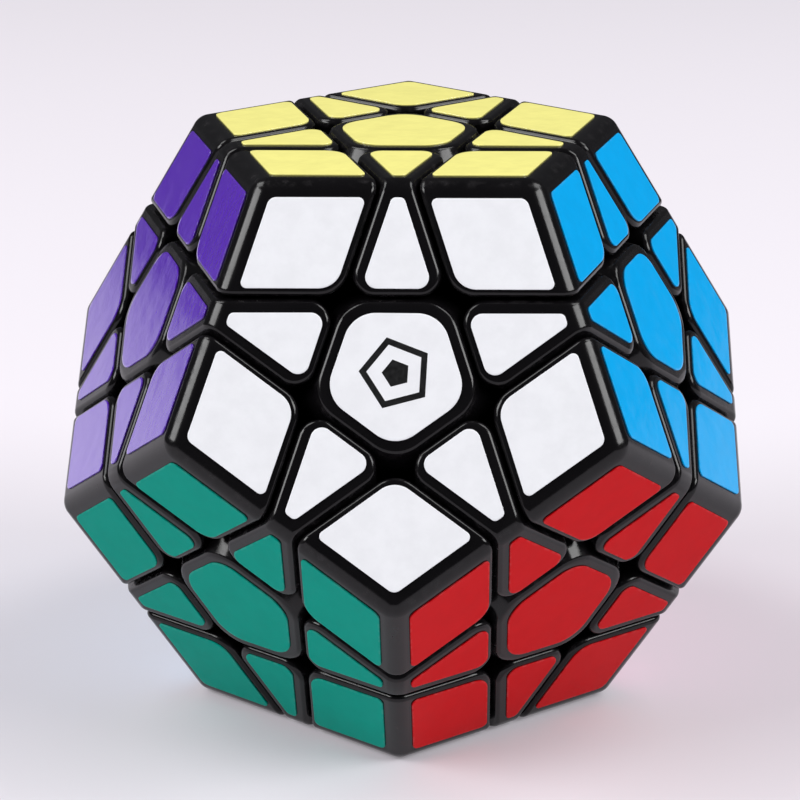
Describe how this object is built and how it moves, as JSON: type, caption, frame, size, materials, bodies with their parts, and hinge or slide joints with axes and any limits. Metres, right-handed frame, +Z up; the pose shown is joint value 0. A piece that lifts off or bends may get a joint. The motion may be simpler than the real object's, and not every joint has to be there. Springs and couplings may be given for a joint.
{
  "type": "dodecahedron twisty puzzle",
  "caption": "Dodecahedron twisty puzzle: stickered centre, edge and corner pieces held by sprung screws round a core ball, with face layers that turn.",
  "frame": {"origin": "middle of the bottom face, on the surface the puzzle stands on", "axes": "+Z up through the top face, -Y towards the side where the white face is, +X to the right of that side"},
  "size_m": [0.0764, 0.0802, 0.066],
  "materials": {
    "piece_plastic": "semi-gloss black moulding with coloured vinyl stickers",
    "core_plastic": "satin white moulding",
    "fastener_steel": "bright zinc"
  },
  "bodies": {
    "puzzle_body": {"centre_bases": "piece_plastic", "centre_caps": "piece_plastic", "core_ball": "core_plastic", "corner_blue_red_pink": "piece_plastic", "corner_green_purple_light_blue": "piece_plastic", "corner_orange_grey_light_blue": "piece_plastic", "corner_purple_orange_light_blue": "piece_plastic", "corner_yellow_purple_orange": "piece_plastic", "edge_blue_pink": "piece_plastic", "edge_blue_red": "piece_plastic", "edge_green_light_blue": "piece_plastic", "edge_green_purple": "piece_plastic", "edge_grey_light_blue": "piece_plastic", "edge_orange_grey": "piece_plastic", "edge_orange_light_blue": "piece_plastic", "edge_pink_grey": "piece_plastic", "edge_purple_light_blue": "piece_plastic", "edge_purple_orange": "piece_plastic", "edge_red_green": "piece_plastic", "edge_red_pink": "piece_plastic", "edge_yellow_blue": "piece_plastic", "edge_yellow_orange": "piece_plastic", "edge_yellow_purple": "piece_plastic", "screw_washers": "fastener_steel", "tension_screws": "fastener_steel", "tension_springs": "fastener_steel"},
    "white_layer": {"centre_white": "piece_plastic", "corner_white_blue_red": "piece_plastic", "corner_white_green_purple": "piece_plastic", "corner_white_red_green": "piece_plastic", "corner_white_yellow_blue": "piece_plastic", "corner_white_yellow_purple": "piece_plastic", "edge_white_blue": "piece_plastic", "edge_white_green": "piece_plastic", "edge_white_purple": "piece_plastic", "edge_white_red": "piece_plastic", "edge_white_yellow": "piece_plastic"},
    "lime_layer": {"centre_lime": "piece_plastic", "corner_blue_lime_pink": "piece_plastic", "corner_lime_orange_grey": "piece_plastic", "corner_lime_pink_grey": "piece_plastic", "corner_yellow_blue_lime": "piece_plastic", "corner_yellow_lime_orange": "piece_plastic", "edge_blue_lime": "piece_plastic", "edge_lime_grey": "piece_plastic", "edge_lime_orange": "piece_plastic", "edge_lime_pink": "piece_plastic", "edge_yellow_lime": "piece_plastic"},
    "cream_layer": {"centre_cream": "piece_plastic", "corner_green_light_blue_cream": "piece_plastic", "corner_grey_light_blue_cream": "piece_plastic", "corner_pink_grey_cream": "piece_plastic", "corner_red_green_cream": "piece_plastic", "corner_red_pink_cream": "piece_plastic", "edge_green_cream": "piece_plastic", "edge_grey_cream": "piece_plastic", "edge_light_blue_cream": "piece_plastic", "edge_pink_cream": "piece_plastic", "edge_red_cream": "piece_plastic"}
  },
  "joints": [
    {"name": "turn_white_layer", "type": "hinge", "parent": "puzzle_body", "child": "white_layer", "pos_m": [0, 0, 0.033], "axis": [0, -0.8944, 0.4472], "continuous": true},
    {"name": "turn_lime_layer", "type": "hinge", "parent": "puzzle_body", "child": "lime_layer", "pos_m": [0, 0, 0.033], "axis": [0.5257, 0.7236, 0.4472], "continuous": true},
    {"name": "turn_cream_layer", "type": "hinge", "parent": "puzzle_body", "child": "cream_layer", "pos_m": [0, 0, 0.033], "axis": [0, 0, -1], "continuous": true}
  ]
}
